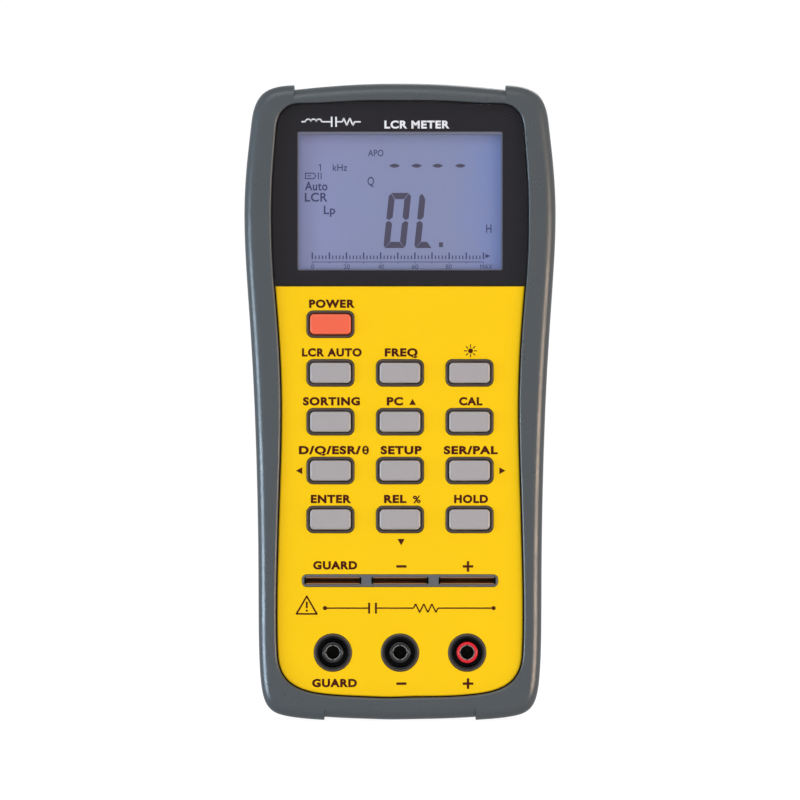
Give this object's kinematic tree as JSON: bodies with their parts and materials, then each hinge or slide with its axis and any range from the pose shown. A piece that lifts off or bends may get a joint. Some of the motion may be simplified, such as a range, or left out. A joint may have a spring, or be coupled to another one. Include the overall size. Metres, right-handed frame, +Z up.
{
  "type": "handheld lcr meter",
  "caption": "Upright handheld meter with a soft grey rim, yellow face, wide display, push keys, test slots, plug jacks, tilt stand and battery door.",
  "frame": {"origin": "under the middle of the lower end, midway between the rim's crest and the back face", "axes": "+X to the right of the face, +Y from the face to the back, +Z up along the body"},
  "size_m": [0.0922, 0.05, 0.188],
  "materials": {
    "case_plastic": "moulded satin with fine grain",
    "front_plastic": "moulded satin, dark in the gaps",
    "panel_yellow": "satin moulded yellow",
    "rim_rubber": "soft matte with fine grain",
    "clear_window": "polished clear",
    "black_print": "gloss black print",
    "display_glass": "polished, blue-grey",
    "white_plastic": "translucent white",
    "contact_rubber": "soft grey",
    "black_plastic": "moulded black",
    "mat_rubber": "soft translucent grey",
    "gold_contact": "bright gold flash",
    "slot_plastic": "satin dark grey",
    "board_green": "green solder mask",
    "chip_black": "moulded epoxy",
    "bright_metal": "bright can",
    "capacitor_sleeve": "dark blue sleeve",
    "ceramic_brown": "matte ceramic",
    "screw_metal": "zinc plated",
    "dark_window": "gloss dark red",
    "diode_clear": "clear tinted",
    "battery_jacket": "satin printed steel",
    "lead_red": "smooth insulation",
    "lead_black": "smooth insulation",
    "stand_plastic": "moulded satin",
    "key_red": "soft satin",
    "key_grey": "soft satin",
    "contact_bronze": "bronze spring",
    "jack_red": "moulded red",
    "jack_black": "moulded black",
    "nickel_contact": "nickel plate"
  },
  "bodies": {
    "meter_body": {"front_case": "front_plastic", "face_panel": "panel_yellow", "bumper": "rim_rubber", "rear_case": "case_plastic", "display_lens": "clear_window", "display_mask": "black_print", "lcd_glass": "display_glass", "backlight_plate": "white_plastic", "zebra_strip": "contact_rubber", "lcd_frame": "black_plastic", "keypad_mat": "mat_rubber", "key_contact_pads": "gold_contact", "slot_frame": "slot_plastic", "main_board": "board_green", "measuring_chip": "chip_black", "converter_chip": "chip_black", "crystal": "bright_metal", "capacitors": "capacitor_sleeve", "range_resistors": "chip_black", "small_components": "ceramic_brown", "buzzer": "black_plastic", "case_screws": "screw_metal", "board_screws": "screw_metal", "power_socket": "black_plastic", "link_window": "dark_window", "link_diodes": "diode_clear", "battery": "battery_jacket", "battery_snap": "black_plastic", "battery_lead_red": "lead_red", "battery_lead_black": "lead_black", "slot_contacts_guard": "contact_bronze", "jack_shroud_guard": "black_plastic", "jack_sleeve_guard": "jack_black", "jack_contact_guard": "nickel_contact", "slot_contacts_minus": "contact_bronze", "jack_shroud_minus": "black_plastic", "jack_sleeve_minus": "jack_black", "jack_contact_minus": "nickel_contact", "slot_contacts_plus": "contact_bronze", "jack_shroud_plus": "black_plastic", "jack_sleeve_plus": "jack_red", "jack_contact_plus": "nickel_contact"},
    "tilt_stand": {"tilt_stand": "stand_plastic"},
    "battery_door": {"battery_door": "case_plastic", "battery_door_screws": "screw_metal"},
    "key_power": {"key_power": "key_red"},
    "key_auto": {"key_auto": "key_grey"},
    "key_frequency": {"key_frequency": "key_grey"},
    "key_light": {"key_light": "key_grey"},
    "key_sorting": {"key_sorting": "key_grey"},
    "key_link": {"key_link": "key_grey"},
    "key_calibrate": {"key_calibrate": "key_grey"},
    "key_quality": {"key_quality": "key_grey"},
    "key_setup": {"key_setup": "key_grey"},
    "key_series": {"key_series": "key_grey"},
    "key_enter": {"key_enter": "key_grey"},
    "key_relative": {"key_relative": "key_grey"},
    "key_hold": {"key_hold": "key_grey"}
  },
  "joints": [
    {"name": "key_power_press", "type": "slide", "parent": "meter_body", "child": "key_power", "axis": [0, 1, 0], "range_m": [0, 0.0008], "stiffness_N_per_m": 1500},
    {"name": "key_auto_press", "type": "slide", "parent": "meter_body", "child": "key_auto", "axis": [0, 1, 0], "range_m": [0, 0.0008], "stiffness_N_per_m": 1500},
    {"name": "key_frequency_press", "type": "slide", "parent": "meter_body", "child": "key_frequency", "axis": [0, 1, 0], "range_m": [0, 0.0008], "stiffness_N_per_m": 1500},
    {"name": "key_light_press", "type": "slide", "parent": "meter_body", "child": "key_light", "axis": [0, 1, 0], "range_m": [0, 0.0008], "stiffness_N_per_m": 1500},
    {"name": "key_sorting_press", "type": "slide", "parent": "meter_body", "child": "key_sorting", "axis": [0, 1, 0], "range_m": [0, 0.0008], "stiffness_N_per_m": 1500},
    {"name": "key_link_press", "type": "slide", "parent": "meter_body", "child": "key_link", "axis": [0, 1, 0], "range_m": [0, 0.0008], "stiffness_N_per_m": 1500},
    {"name": "key_calibrate_press", "type": "slide", "parent": "meter_body", "child": "key_calibrate", "axis": [0, 1, 0], "range_m": [0, 0.0008], "stiffness_N_per_m": 1500},
    {"name": "key_quality_press", "type": "slide", "parent": "meter_body", "child": "key_quality", "axis": [0, 1, 0], "range_m": [0, 0.0008], "stiffness_N_per_m": 1500},
    {"name": "key_setup_press", "type": "slide", "parent": "meter_body", "child": "key_setup", "axis": [0, 1, 0], "range_m": [0, 0.0008], "stiffness_N_per_m": 1500},
    {"name": "key_series_press", "type": "slide", "parent": "meter_body", "child": "key_series", "axis": [0, 1, 0], "range_m": [0, 0.0008], "stiffness_N_per_m": 1500},
    {"name": "key_enter_press", "type": "slide", "parent": "meter_body", "child": "key_enter", "axis": [0, 1, 0], "range_m": [0, 0.0008], "stiffness_N_per_m": 1500},
    {"name": "key_relative_press", "type": "slide", "parent": "meter_body", "child": "key_relative", "axis": [0, 1, 0], "range_m": [0, 0.0008], "stiffness_N_per_m": 1500},
    {"name": "key_hold_press", "type": "slide", "parent": "meter_body", "child": "key_hold", "axis": [0, 1, 0], "range_m": [0, 0.0008], "stiffness_N_per_m": 1500},
    {"name": "stand_tilt", "type": "hinge", "parent": "meter_body", "child": "tilt_stand", "pos_m": [0, 0.0231, 0.1485], "axis": [1, 0, 0], "range_deg": [0, 40]},
    {"name": "door_removal", "type": "slide", "parent": "meter_body", "child": "battery_door", "axis": [0, 1, 0], "range_m": [0, 0.03]}
  ]
}
